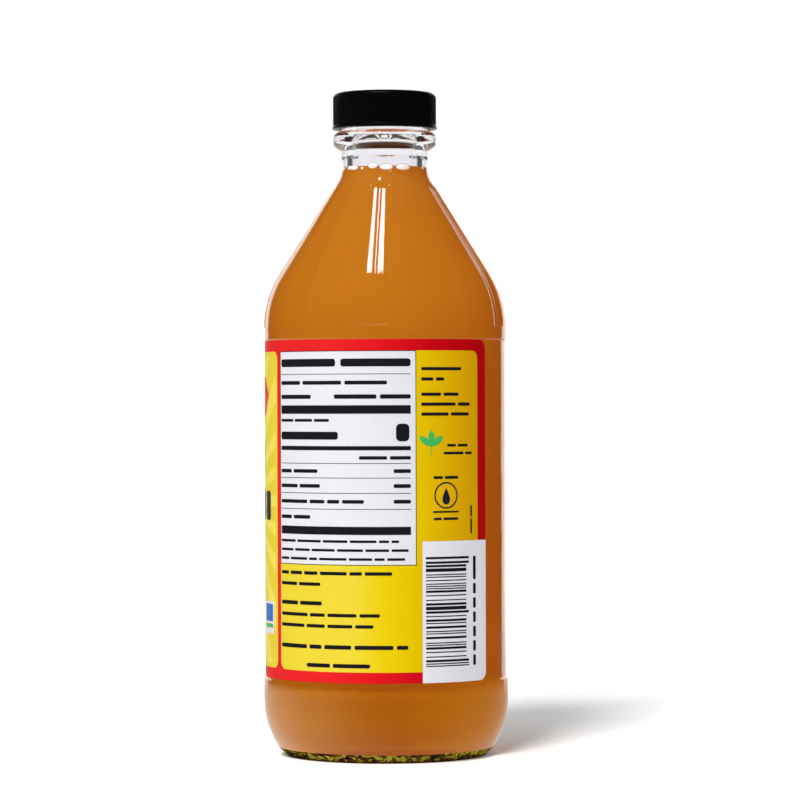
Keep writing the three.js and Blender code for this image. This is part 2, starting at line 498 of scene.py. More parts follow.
def makeFootBand():
    sizes = footSizes
    draw = random.Random(sizes["seed"])
    (r0, z0), (r1, z1) = sizes["inner"], sizes["outer"]
    length = math.dist((r0, z0), (r1, z1))
    outward = ((z1 - z0) / length * sizes["thickness"], -(r1 - r0) / length * sizes["thickness"])
    shares = [row / sizes["rows"] for row in range(sizes["rows"] + 1)]
    face = [(r0 + (r1 - r0) * share, z0 + (z1 - z0) * share) for share in shares]
    back = [(radius - outward[0], height - outward[1]) for radius, height in reversed(face)]
    profile = face + back + face[:1]
    columns = sizes["columns"]

    def place(row, radius, height, column):
        angle = 2 * math.pi * column / columns
        if 0 < row < sizes["rows"]:
            push = draw.uniform(-1, 0) * sizes["bump"]
            radius += push * sizes["slant"]
            height -= push * sizes["slant"]
        return radius, height, angle

    points, faces = revolve(profile, columns, place)
    material, tree, shader = newMaterial("stippledFoot", {"Roughness": 0.35, "Specular IOR Level": 0.0})
    where, split = objectPlace(tree)
    fine = noiseValue(tree, where, sizes["fineNoise"], detail=4, distortion=0.8)
    wide = noiseValue(tree, where, sizes["wideNoise"], detail=4, distortion=0.8)
    drift = maths(tree, "MULTIPLY_ADD", wide, *sizes["drift"])
    # painted shade and light in patches
    stippled = addRamp(tree, maths(tree, "ADD", fine, drift), sizes["colors"])
    # painted contact shadow at the lower edge, fading upwards
    low, high = sizes["contactShadowHeights"]
    aboveEdge = ramped(tree, split.outputs["Z"], low * mm, high * mm)
    color = mixed(tree, "RGBA", aboveEdge, sizes["contactShadowColor"], stippled)
    link(tree, color, shader.inputs["Base Color"])
    addPiece("foot_stipple", points, faces, material)
    print("foot band:", len(faces), "faces")


makeFootBand()


# vinegar, which reaches a little way into the wall

vinegarSizes = {
    "level": 170.3,
    "intoWall": 0.15,
    "baseTop": 20.0,  # below this it also reaches down into the glass
    "rim": [(0.0, 0.25), (0.1, 0.05), (0.3, 0.0)],  # in from the wall, down from the level
    "columns": 192,
    "tones": [  # height, colour; darker round the heel and lighter again at the very bottom, painted shade and painted light
        (3.0, (0.13, 0.085, 0.003, 1)),
        (10.0, (0.10, 0.060, 0.003, 1)),
        (17.0, (0.065, 0.036, 0.002, 1)),
        (27.0, (0.170, 0.082, 0.005, 1)),
        (153.0, (0.170, 0.085, 0.006, 1)),
        (169.0, (0.155, 0.085, 0.010, 1)),
    ],
    "glow": (0.335, 0.066, 0.0020, 1),  # painted glow: emission standing in for light scattered through the cloud
    "sideGlow": (0.445, 0.134, 0.003, 1),  # brighter painted glow at the heel's sides, where light comes through
    "sideHeights": (24.0, 20.0),  # where it starts and where it is full, going down
    "sideReach": (4.0, 31.0),  # and going out from the middle
}


def makeVinegarMesh():
    sizes = vinegarSizes
    more = sizes["intoWall"]
    corners = []
    for radius, height, fillet in reversed(glassSizes["inside"][1:]):
        down = more if height < sizes["baseTop"] else 0
        corners.append((radius + more if radius > 0 else 0, height - down, fillet))
    neck = glassSizes["inside"][0]
    corners.append((neck[0] + more, neck[1], 0))
    level = sizes["level"]
    rimBottom = level - sizes["rim"][0][1]
    profile = [point for point in filletProfile(corners, arcTurn=7.0, longest=2.0) if point[1] < rimBottom]
    edge = profile[-1][0]
    profile += [(edge - inwards, level - down) for inwards, down in sizes["rim"]]
    profile.append((0, level))

    def place(row, radius, height, column):
        return radius, height, 2 * math.pi * column / sizes["columns"]

    return revolve(profile, sizes["columns"], place)


def makeVinegarMaterial():
    sizes = vinegarSizes
    material, tree, shader = newMaterial(
        "cloudyVinegar",
        {"Roughness": 0.5, "Specular IOR Level": 0.0, "Emission Strength": 1.0},
    )
    split = objectPlace(tree)[1]
    # painted glow: emission stands in for light scattered through the cloudy vinegar, brighter at the
    # heel's sides
    aside = maths(tree, "ABSOLUTE", split.outputs["X"])
    low = ramped(tree, split.outputs["Z"], *(height * mm for height in sizes["sideHeights"]))
    far = ramped(tree, aside, *(reach * mm for reach in sizes["sideReach"]))
    glow = mixed(tree, "RGBA", maths(tree, "MULTIPLY", low, far), sizes["glow"], sizes["sideGlow"])
    link(tree, glow, shader.inputs["Emission Color"])
    # painted shade and light: the colour by height darkens round the heel
    tones = addRamp(tree, split.outputs["Z"], [(height * mm, color) for height, color in sizes["tones"]])
    addMottle(tree, shader, tones, Depth=0.12, Patch=35.0, Grain=400.0, Gloss=0.5, Spread=0.0)
    return material


vinegarPoints, vinegarFaces = makeVinegarMesh()
vinegar = addPiece("vinegar_fill", vinegarPoints, vinegarFaces, makeVinegarMaterial())
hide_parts("vinegar")
print("vinegar:", len(vinegarFaces), "faces")


# screw cap

capSizes = {
    "profile": [  # radius, height, fillet
        (0, 190.5, 0),
        (13.2, 190.5, 0.4),
        (13.2, 181.4, 0.3),
        (15.24, 181.4, 0.3),
        (15.24, 182.4, 0.45),
        (14.73, 182.55, 0.05),
        (14.98, 182.75, 0.1),
        (14.98, 192.0, 1.7),
        (0, 192.0, 0),
    ],
    "ribBottom": 182.4,
    "ribRise": 0.3,  # height over which the ribs start
    "ribTop": 190.4,
    "ribFade": 0.6,  # and over which they end
    "ribInside": (14.4, 0.3),  # radius where they start, and the way from there to full depth
    "ribDepth": 0.32,
    "ribSharpness": 1.5,
    "ribCount": 100,
    "columnsPerRib": 8,
    "color": (0.0016, 0.0014, 0.0026, 1),
}


def makeCapMesh():
    sizes = capSizes
    columns = sizes["ribCount"] * sizes["columnsPerRib"]
    profile = filletProfile(sizes["profile"], arcTurn=15.0, longest=1.2)
    inside, reach = sizes["ribInside"]

    def place(row, radius, height, column):
        angle = 2 * math.pi * column / columns
        started = smoothStep((height - sizes["ribBottom"]) / sizes["ribRise"])
        ended = smoothStep((sizes["ribTop"] + sizes["ribFade"] - height) / sizes["ribFade"])
        outer = smoothStep((radius - inside) / reach)
        wave = 0.5 - 0.5 * math.cos(sizes["ribCount"] * angle)
        depth = sizes["ribDepth"] * wave ** sizes["ribSharpness"]
        return radius - depth * started * ended * outer, height, angle

    return revolve(profile, columns, place)


def makeCapMaterial():
    material, tree, shader = newMaterial("blackPlastic", {"Specular IOR Level": 0.25})
    moulded = addMottle(
        tree, shader, capSizes["color"], Depth=0.3, Patch=150.0, Grain=2500.0, Gloss=0.3, Spread=0.15
    )
    link(tree, moulded.outputs["Roughness"], shader.inputs["Roughness"])
    addBump(tree, shader, moulded.outputs["Height"], strength=0.15, distance=0.00005)
    return material


capPoints, capFaces = makeCapMesh()
cap = addPiece("knurled_cap", capPoints, capFaces, makeCapMaterial())
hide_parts("screw_cap")
print("cap:", len(capFaces), "faces")


# label and its print: flat shapes in millimetres round the girth (u) and up (v), bent round the glass

labelSizes = {
    "radius": 34.95,  # face of the bare sheet
    "thickness": 0.25,
    "bottom": 23.1,
    "top": 120.0,
    "left": -153.7,
    "right": 33.3,
    "corner": 2.6,
    "strip": 1.0,  # widest flat facet
    "film": 0.012,  # thickness of a layer of ink
    "layer": 0.02,  # from one layer's face to the next
    "seed": 11,
}

panels = {
    "corner": 2.2,
    "floor": 26.2,
    "head": 116.8,
    "info": (-35.8, 29.6),
    "front": (-95.7, -37.8),
    "side": (-150.3, -97.7),
    "box": (-35.8, 56.3, 8.9, 116.8),
    "code": (10.6, 23.1, 33.3, 63.0),
}


def roundedBox(u0, v0, u1, v1, radius=0.0, corners=(1, 1, 1, 1), steps=6):
    outline = []
    places = ((u0, v0, 1, 1, 180), (u1, v0, -1, 1, 270), (u1, v1, -1, -1, 0), (u0, v1, 1, -1, 90))
    for (u, v, inU, inV, turn), rounded in zip(places, corners):
        if not rounded or radius == 0:
            outline.append((u, v))
            continue
        for step in range(steps + 1):
            angle = math.radians(turn + 90 * step / steps)
            outline.append((
                u + inU * radius + radius * math.cos(angle),
                v + inV * radius + radius * math.sin(angle),
            ))
    return outline


def clipStrip(outline, edge, keepAbove):
    kept = []
    for (u0, v0), (u1, v1) in zip(outline, outline[1:] + outline[:1]):
        inside0 = u0 >= edge if keepAbove else u0 <= edge
        inside1 = u1 >= edge if keepAbove else u1 <= edge
        if inside0:
            kept.append((u0, v0))
        if inside0 != inside1:
            kept.append((edge, v0 + (v1 - v0) * (edge - u0) / (u1 - u0)))
    return kept


def intoStrips(outline, width):
    first = math.floor(min(u for u, v in outline) / width)
    last = math.ceil(max(u for u, v in outline) / width)
    for index in range(first, last):
        strip = clipStrip(clipStrip(outline, index * width, True), (index + 1) * width, False)
        tidy = [p for p, q in zip(strip, strip[1:] + strip[:1]) if math.dist(p, q) > 1e-5]
        if len(tidy) > 2:
            yield tidy


def bentLayer(name, outlines, lift, thickness, material):
    sheet = bmesh.new()
    for outline in outlines:
        for strip in intoStrips(outline, labelSizes["strip"]):
            sheet.faces.new([sheet.verts.new((u, v, 0)) for u, v in strip])
    bmesh.ops.remove_doubles(sheet, verts=sheet.verts, dist=1e-5)
    bmesh.ops.solidify(sheet, geom=sheet.faces[:], thickness=thickness)
    bmesh.ops.recalc_face_normals(sheet, faces=sheet.faces)
    deepest = min(point.co.z for point in sheet.verts)
    for point in sheet.verts:
        radius = labelSizes["radius"] + lift + point.co.z - deepest - thickness
        angle = point.co.x / labelSizes["radius"]
        point.co = (radius * math.sin(angle) * mm, -radius * math.cos(angle) * mm, point.co.y * mm)
    mesh = bpy.data.meshes.new(name)
    sheet.to_mesh(mesh)
    sheet.free()
    mesh.materials.append(material)
    piece = bpy.data.objects.new(name, mesh)
    scene.collection.objects.link(piece)
    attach(piece, "root")
    return piece


inks = {  # colour, or tones at places across the bottle: painted light and shade, the red and yellow paler on the lit left and darker towards +X, the code patch's white lighter towards its right edge
    "red": [
        (-16.0, (0.655, 0.0145, 0.0160, 1)),
        (1.6, (0.590, 0.0058, 0.0106, 1)),
        (13.0, (0.488, 0.0015, 0.0072, 1)),
        (28.0, (0.432, 0.0004, 0.0024, 1)),
    ],
    "yellow": [
        (-10.0, (0.678, 0.535, 0.0350, 1)),
        (-1.0, (0.678, 0.503, 0.0030, 1)),
        (5.0, (0.670, 0.478, 0.0005, 1)),
        (19.0, (0.647, 0.373, 0.0003, 1)),
        (28.0, (0.653, 0.310, 0.0003, 1)),
    ],
    "paleYellow": (0.76, 0.62, 0.085, 1),
    "white": (0.652, 0.647, 0.680, 1),
    "patchWhite": [
        (13.0, (0.693, 0.684, 0.733, 1)),
        (22.0, (0.705, 0.694, 0.748, 1)),
        (27.0, (0.775, 0.765, 0.831, 1)),
    ],
    "black": (0.010, 0.009, 0.012, 1),
    "navy": (0.012, 0.012, 0.030, 1),
    "green": (0.05, 0.42, 0.10, 1),
    "blue": (0.04, 0.14, 0.50, 1),
    "amber": (0.70, 0.24, 0.012, 1),
}


def makeInk(name):
    material, tree, shader = newMaterial(name + "Ink", {"Specular IOR Level": 0.02})
    tones = inks[name]
    if isinstance(tones, list):
        # painted shade and light: tones across X change the ink with how the label is lit
        across = objectPlace(tree)[1].outputs["X"]
        tones = addRamp(tree, across, [(place * mm, color) for place, color in tones])
    printed = addMottle(tree, shader, tones, Depth=0.06, Patch=70.0, Grain=1800.0, Gloss=0.42, Spread=0.12)
    waves = placeGroup(tree, mouldWaves, Size=110.0)
    link(tree, printed.outputs["Roughness"], shader.inputs["Roughness"])
    addBump(tree, shader, waves.outputs["Height"], strength=0.12, distance=0.0004)
    return material


def disc(u, v, radius, steps=48):
    turns = [2 * math.pi * step / steps for step in range(steps)]
    return [(u + radius * math.cos(turn), v + radius * math.sin(turn)) for turn in turns]


def ring(u, v, inner, outer, steps=60):
    near, far = disc(u, v, inner, steps), disc(u, v, outer, steps)
    return [
        [near[index], far[index], far[(index + 1) % steps], near[(index + 1) % steps]]
        for index in range(steps)
    ]


def leaf(u, v, length, width, turn, steps=10):
    ahead, aside = math.cos(math.radians(turn)), math.sin(math.radians(turn))
    lower = [(step / steps, -math.sin(math.pi * step / steps) ** 0.8) for step in range(steps)]
    upper = [(1 - step / steps, math.sin(math.pi * step / steps) ** 0.8) for step in range(steps)]
    return [
        (u + along * length * ahead - across * width / 2 * aside,
         v + along * length * aside + across * width / 2 * ahead)
        for along, across in lower + upper
    ]


def drop(u, v, radius, steps=28):
    outline = []
    for step in range(steps):
        turn = 2 * math.pi * step / steps
        narrow = math.sin(turn / 2) ** 1.4
        outline.append((u - radius * 1.15 * math.sin(turn) * narrow, v + radius * 1.6 * math.cos(turn)))
    return outline


barSizes = {  # shares of a row's height
    "thickness": (0.32, 0.36),  # of the thinnest bar, and what full weight adds
    "lift": 0.1,
    "unit": 0.6,
    "gap": 0.42,
    "lastGap": 1.4,  # a shorter rest joins the last bar
    "corner": 0.3,  # of the bar's thickness
    "onePiece": 0.6,  # rows of more weight than this are one bar
}


# a row of plain bars, their lengths drawn in units
def barRow(draw, u0, u1, v0, v1, weight=0.5, lengths=(3, 9), upright=False):
    sizes = barSizes
    tall = u1 - u0 if upright else v1 - v0
    length = v1 - v0 if upright else u1 - u0
    thick = tall * (sizes["thickness"][0] + sizes["thickness"][1] * weight)
    low = tall * sizes["lift"]
    spans, along = [], 0.0
    if weight > sizes["onePiece"]:
        spans, along = [(0.0, length)], length
    while along + sizes["unit"] * tall < length:
        wide = tall * sizes["unit"] * draw.randint(*lengths)
        if length - along - wide < tall * sizes["lastGap"]:
            wide = length - along
        spans.append((along, along + wide))
        along += wide + tall * sizes["gap"]
    if upright:
        boxes = [(u1 - low - thick, v0 + near, u1 - low, v0 + far) for near, far in spans]
    else:
        boxes = [(u0 + near, v0 + low, u0 + far, v0 + low + thick) for near, far in spans]
    return [roundedBox(*box, thick * sizes["corner"], steps=2) for box in boxes]


# big blocks that fill a row from end to end
def blockRow(u0, u1, v0, v1, shares, gapShare=0.16, cornerShare=0.22):
    gap = (v1 - v0) * gapShare
    scale = (u1 - u0 - gap * (len(shares) - 1)) / sum(shares)
    blocks, u = [], u0
    for share in shares:
        wide = share * scale
        blocks.append(roundedBox(u, v0, u + wide, v1, min(wide, v1 - v0) * cornerShare, steps=4))
        u += wide + gap
    return blocks


infoSizes = {
    "rows": [  # left end, right end, bottom, top, weight
        (-35.2, -14.4, 111.9, 116.0, 0.62), (-12.8, 7.3, 111.9, 116.0, 0.62),
        (-35.2, 0.6, 107.0, 109.4, 0.36),
        (-35.2, -22.5, 103.0, 105.3, 0.55), (-14.8, 7.3, 103.0, 105.3, 0.58),
        (-35.2, -16.4, 96.6, 98.2, 0.5),
        (-35.2, -13.6, 91.3, 95.4, 0.62),
        (-7.4, 7.3, 85.9, 87.8, 0.55),
        (-35.2, -20.2, 82.1, 84.2, 0.46), (2.4, 7.3, 82.1, 84.2, 0.55),
        (-35.2, -19.4, 77.9, 80.0, 0.46), (2.4, 7.3, 77.9, 80.0, 0.55),
        (-35.2, -6.0, 73.5, 75.6, 0.46), (2.4, 7.3, 73.5, 75.6, 0.55),
        (-35.2, -22.8, 69.1, 71.2, 0.46),
        (-35.2, 3.9, 62.5, 64.1, 0.36), (-35.2, 6.6, 60.0, 61.6, 0.36), (-35.2, 5.6, 57.5, 59.1, 0.36),
        (-35.2, 1.9, 53.3, 55.3, 0.44), (-35.2, -19.4, 50.2, 52.2, 0.4),
        (-35.2, -18.9, 44.7, 46.8, 0.55), (-35.2, -1.6, 41.5, 43.6, 0.36), (-35.2, -3.4, 38.4, 40.5, 0.36),
        (-35.2, 6.4, 32.4, 34.7, 0.5),
        (-24.2, -4.4, 27.2, 29.4, 0.52),
        (10.4, 23.2, 111.0, 113.0, 0.36), (10.4, 17.4, 108.1, 110.1, 0.36),
        (10.4, 22.2, 103.8, 105.8, 0.36), (10.4, 26.4, 101.0, 103.0, 0.36), (10.4, 26.0, 98.2, 100.2, 0.36),
        (18.4, 25.6, 89.5, 91.1, 0.36), (17.2, 27.2, 87.3, 88.9, 0.36),
        (14.0, 22.0, 80.4, 82.0, 0.5), (14.0, 22.0, 68.8, 70.2, 0.5),
    ],
    "uprightRows": [  # left, right, lower end, upper end, shortest and longest bar in units
        (25.9, 27.3, 65.0, 73.0, (3, 9)),
        (26.4, 28.9, 27.6, 58.6, (2, 3)),
    ],
    "uprightWeight": 0.36,
    "ruleEnds": (-35.2, 7.3),
    "heavyBars": ((99.0, 101.4), (88.7, 89.9), (64.9, 67.2)),  # bottom, top
    "fineRules": (110.2, 85.0, 80.9, 76.6, 72.1),
    "fineHalf": 0.09,  # half of a fine rule's thickness
    "boxLine": 0.2,
    "boldBlock": (3.1, 91.2, 6.9, 96.2, 1.3),
    "shortRule": (13.8, 71.0, 22.2, 71.5),
    "sprig": (13.4, 89.8, 4.6),
    "drop": (18.0, 75.7, 1.5),
    "ring": (18.0, 75.9, 3.35, 3.8),
}


def infoPrint(draw):
    sizes = infoSizes
    black = []
    for u0, u1, v0, v1, weight in sizes["rows"]:
        black += barRow(draw, u0, u1, v0, v1, weight)
    for u0, u1, v0, v1, lengths in sizes["uprightRows"]:
        black += barRow(draw, u0, u1, v0, v1, sizes["uprightWeight"], lengths, upright=True)
    left, right = sizes["ruleEnds"]
    for v0, v1 in sizes["heavyBars"]:
        black.append(roundedBox(left, v0, right, v1))
    for v in sizes["fineRules"]:
        black.append(roundedBox(left, v - sizes["fineHalf"], right, v + sizes["fineHalf"]))
    u0, v0, u1, v1 = panels["box"]
    line = sizes["boxLine"]
    black += [roundedBox(u0, v, u1, v + line) for v in (v0, v1 - line)]
    black += [roundedBox(u, v0 + line, u + line, v1 - line) for u in (u0, u1 - line)]
    return black + [roundedBox(*sizes["boldBlock"]), roundedBox(*sizes["shortRule"])]


codeSizes = {
    "top": 58.6,
    "bottom": 27.9,
    "left": 11.6,
    "right": 24.9,
    "longRight": 25.9,  # of the long bars at both ends and in the middle
    "longAbove": 56.5,
    "longBelow": 30.0,
    "middle": (43.2, 1.1),  # height, reach to both sides
    "module": 0.326,  # finest bar
    "bars": (1, 1, 1, 2, 2, 3),  # in modules
    "gaps": (1, 1, 2, 2, 3),
}


def codeBars(draw):
    sizes = codeSizes
    middle, reach = sizes["middle"]
    bars, v = [], sizes["top"]
    while v > sizes["bottom"]:
        thick = sizes["module"] * draw.choice(sizes["bars"])
        isLong = v > sizes["longAbove"] or abs(v - middle) < reach or v < sizes["longBelow"]
        bars.append(roundedBox(sizes["left"], v - thick, sizes["longRight" if isLong else "right"], v))
        v -= thick + sizes["module"] * draw.choice(sizes["gaps"])
    return bars


def sprig(u, v, size):
    shapes = [leaf(u, v, size, size * 0.42, turn) for turn in (38, 90, 142)]
    shapes.append(roundedBox(u - size * 0.035, v - size * 0.5, u + size * 0.035, v + size * 0.1))
    return shapes


def rays(u, v, inner, box, count, half=0.22, reach=0.985):
    shapes = []
    for index in range(count):
        ends = []
        for side in (-half, half):
            turn = 2 * math.pi * (index + side) / count
            along, up = math.cos(turn), math.sin(turn)
            reachU = ((box[2] if along > 0 else box[0]) - u) / along if abs(along) > 1e-6 else 1e9
            reachV = ((box[3] if up > 0 else box[1]) - v) / up if abs(up) > 1e-6 else 1e9
            far = min(reachU, reachV) * reach
            ends.append(((u + inner * along, v + inner * up), (u + far * along, v + far * up)))
        (near0, far0), (near1, far1) = ends
        shapes.append([near0, far0, far1, near1])
    return shapes


frontSizes = {  # sideways places are from the panel's middle, or for the tag from its right edge
    "rays": (74.0, 12.0, 22),  # height of the centre, inner radius, count
    "raysMargin": 0.6,
    "banner": [
        (-22.0, 104.6), (-17.5, 98.5), (17.5, 98.5),
        (22.0, 104.6), (17.5, 109.5), (-17.5, 109.5),
    ],
    "bannerBar": (-15, 16, 101.2, 106.8, 0.7),  # left, right, bottom, top, weight
    "blocks": [  # left, right, bottom, top, shares
        (-23.5, 15.0, 82.0, 91.0, (4, 3, 5, 3, 4)),
        (-23.5, 23.8, 68.4, 76.8, (5, 2, 4, 4, 3, 4, 3)),
    ],
    "disc": (-4, 49.0, 12.5),
    "discRing": (11.2, 11.7),
    "sprig": (50.5, 7.5),  # height, size
    "drop": (43.4, 2.6),
    "lastRow": (-25, 12, 30.4, 33.0, 0.5),
    "tag": (-11.7, 35.8, -2.6, 45.2, 0.8),  # left, bottom, right, top, corner
    "tagBlock": (-10.9, 39.4, -3.4, 44.4, 0.4),
    "tagBar": (-10.9, 37.6, -3.4, 38.7, 0.2),
}


def shiftedBox(shift, u0, v0, u1, v1, corner):
    return roundedBox(shift + u0, v0, shift + u1, v1, corner)


def shiftedRow(draw, shift, u0, u1, v0, v1, weight):
    return barRow(draw, shift + u0, shift + u1, v0, v1, weight)


def printFront(layers, draw):
    sizes = frontSizes
    u0, u1 = panels["front"]
    mid = (u0 + u1) / 2
    margin = sizes["raysMargin"]
    centre, inner, count = sizes["rays"]
    inPanel = (u0 + margin, panels["floor"] + margin, u1 - margin, panels["head"] - margin)
    layers[2]["paleYellow"] = rays(mid, centre, inner, inPanel, count)
    layers[3]["red"] = [[(mid + u, v) for u, v in sizes["banner"]]]
    discAside, discHeight, discRadius = sizes["disc"]
    discMid = mid + discAside
    layers[3]["white"] = [disc(discMid, discHeight, discRadius), shiftedBox(u1, *sizes["tag"])]
    layers[4]["white"] = shiftedRow(draw, mid, *sizes["bannerBar"])
    for left, right, bottom, top, shares in sizes["blocks"]:
        layers[3]["navy"] += blockRow(mid + left, mid + right, bottom, top, shares)
    layers[4]["navy"] = ring(discMid, discHeight, *sizes["discRing"])
    layers[3]["navy"] += shiftedRow(draw, mid, *sizes["lastRow"])
    layers[4]["green"] = sprig(discMid, *sizes["sprig"])
    layers[4]["amber"] = [drop(discMid, *sizes["drop"])]
    layers[4]["blue"] = [shiftedBox(u1, *sizes["tagBlock"])]
    layers[4]["green"].append(shiftedBox(u1, *sizes["tagBar"]))


sideSizes = {
    "inset": 5,
    "patch": (58.0, 80.0, 1.5),  # bottom, top, corner
    "heading": (12, 107.0, 112.0, 0.65),  # room at the right, bottom, top, weight
    "groups": [  # first row's height, step, rows, inset, room at the right, below, above, weight
        (100.0, 3.3, 6, 5, (5, 13), 1.2, 0.8, 0.4),
        (75.5, 6.5, 3, 13.5, (8, 14), 1.1, 1.1, 0.45),
        (52.5, 3.3, 7, 5, (5, 15), 1.2, 0.8, 0.4),
    ],
    "dot": (9.5, 1.7),  # inset and radius, for rows on the patch
}


def printSide(layers, draw):
    sizes = sideSizes
    u0, u1 = panels["side"]
    inset = sizes["inset"]
    patchBottom, patchTop, corner = sizes["patch"]
    layers[2]["white"].append(roundedBox(u0 + inset, patchBottom, u1 - inset, patchTop, corner))
    room, bottom, top, weight = sizes["heading"]
    layers[3]["navy"] += barRow(draw, u0 + inset, u1 - room, bottom, top, weight)
    dotInset, dotRadius = sizes["dot"]
    for first, step, count, start, rooms, below, above, weight in sizes["groups"]:
        for row in range(count):
            v = first - step * row
            if patchBottom < v < patchTop:
                layers[3]["green"].append(disc(u0 + dotInset, v, dotRadius))
            end = u1 - draw.uniform(*rooms)
            layers[3]["navy"] += barRow(draw, u0 + start, end, v - below, v + above, weight)


def makeLabel():
    sizes = labelSizes
    draw = random.Random(sizes["seed"])
    paint = {name: makeInk(name) for name in inks}
    sheet = bentLayer(
        "label_sheet",
        [roundedBox(sizes["left"], sizes["bottom"], sizes["right"], sizes["top"], sizes["corner"])],
        0.0, sizes["thickness"], paint["red"],
    )
    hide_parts("label")
    floor, head, corner = panels["floor"], panels["head"], panels["corner"]
    layers = {1: {}, 2: {}, 3: {}, 4: {}}
    layers[1]["yellow"] = []
    for name, corners in (("front", (1, 1, 1, 1)), ("side", (1, 1, 1, 1)), ("info", (1, 0, 1, 0))):
        left, right = panels[name]
        layers[1]["yellow"].append(roundedBox(left, floor, right, head, corner, corners))
    layers[2]["white"] = [roundedBox(*panels["box"])]
    layers[2]["patchWhite"] = [roundedBox(*panels["code"], sizes["corner"], corners=(0, 1, 0, 0))]
    layers[3]["black"] = infoPrint(draw) + codeBars(draw)
    layers[3]["green"] = sprig(*infoSizes["sprig"])
    layers[3]["navy"] = [drop(*infoSizes["drop"])] + ring(*infoSizes["ring"])
    printFront(layers, draw)
    printSide(layers, draw)
    for depth, shapes in layers.items():
        for name, outlines in shapes.items():
            bentLayer(f"label_{name}_{depth}", outlines, depth * sizes["layer"], sizes["film"], paint[name])


makeLabel()
print("label and print ready")


# bubbles on the vinegar, pressed against the glass

bubbleSizes = {
    "front": [  # sideways place, width, height, lift
        (-8.0, 2.9, 1.7, -0.5),
        (-6.0, 1.0, 0.9, -0.8),
        (-3.2, 2.7, 1.8, -0.1),
        (0.5, 3.7, 2.1, -0.5),
        (5.0, 4.5, 2.2, -0.5),
        (1.6, 0.5, 0.5, -1.8),
    ],
    "depth": 1.0,
    "ring": 9.95,
    "others": 11,  # round the sides and the back
    "seed": 7,
    "otherWidths": (0.9, 3.6),
    "otherTurns": (78, 22, 6),  # degrees: the first one, the step, and how far each may stray
    "otherHeight": (0.4, 0.42),  # of a bubble without width, and what its width adds
    "otherLifts": (-0.7, -0.3),
    "color": (0.98, 0.96, 0.94, 1),
    # painted light: the bubbles' own glow
    "glow": (0.20, 0.18, 0.17, 1),
    "lineColor": (0.42, 0.21, 0.08, 1),
    "lineSteps": 40,
    "linePath": ((0.47, 0.20), (0.50, 0.23), (0.53, 0.20), (0.50, 0.17)),  # reach and depth, in widths
}


def makeBubbles():
    sizes = bubbleSizes
    draw = random.Random(sizes["seed"])
    spots = []
    for aside, width, height, lift in sizes["front"]:
        spots.append((math.asin(aside / sizes["ring"]), width, height, lift))
    first, step, stray = sizes["otherTurns"]
    least, gain = sizes["otherHeight"]
    for index in range(sizes["others"]):
        width = draw.uniform(*sizes["otherWidths"])
        turn = math.radians(first + step * index + draw.uniform(-stray, stray))
        spots.append((turn, width, least + gain * width, draw.uniform(*sizes["otherLifts"])))
    foam = bmesh.new()

    def settle(points, turn, width, height, lift):
        for point in points:
            out = sizes["ring"] - sizes["depth"] / 4 + point.co.y * sizes["depth"]
            angle = turn + point.co.x * width / sizes["ring"]
            rise = vinegarSizes["level"] + lift + point.co.z * height
            point.co = (out * math.sin(angle) * mm, -out * math.cos(angle) * mm, rise * mm)

    for spot in spots:
        made = bmesh.ops.create_icosphere(foam, subdivisions=4, radius=0.5)
        settle(made["verts"], *spot)
    bubbleFaces = len(foam.faces)
    for spot in spots:  # line where each bubble meets the glass
        loops = []
        for step in range(sizes["lineSteps"]):
            turn = 2 * math.pi * step / sizes["lineSteps"]
            loops.append([
                foam.verts.new((reach * math.cos(turn), ahead, reach * math.sin(turn)))
                for reach, ahead in sizes["linePath"]
            ])
        for loop, after in zip(loops, loops[1:] + loops[:1]):
            for side in range(len(loop)):
                more = (side + 1) % len(loop)
                foam.faces.new([loop[side], loop[more], after[more], after[side]])
        settle([point for loop in loops for point in loop], *spot)
    mesh = bpy.data.meshes.new("surface_bubbles")
    bmesh.ops.recalc_face_normals(foam, faces=foam.faces)
    foam.to_mesh(mesh)
    foam.free()
    mesh.polygons.foreach_set("use_smooth", [True] * len(mesh.polygons))
    # painted light: emission makes the bubble film glow as lit foam
    material, tree, shader = newMaterial("bubbleFilm", {
        "Roughness": 0.12,
        "IOR": 1.2,
        "Transmission Weight": 0.2,
        "Emission Color": sizes["glow"],
        "Emission Strength": 1.0,
    })
    addMottle(tree, shader, sizes["color"], Depth=0.15, Patch=900.0, Grain=3000.0, Gloss=0.12, Spread=0.05)
    mesh.materials.append(material)
    lineMaterial, tree, shader = newMaterial("bubbleEdge", {"Roughness": 0.4})
    addMottle(tree, shader, sizes["lineColor"], Depth=0.5, Patch=700.0, Grain=3000.0, Gloss=0.4, Spread=0.1)
    mesh.materials.append(lineMaterial)
    for face in mesh.polygons[bubbleFaces:]:
        face.material_index = 1
    piece = bpy.data.objects.new("surface_bubbles", mesh)
    scene.collection.objects.link(piece)
    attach(piece, "root")


makeBubbles()
print("bubbles ready")


# floor, world and lamps

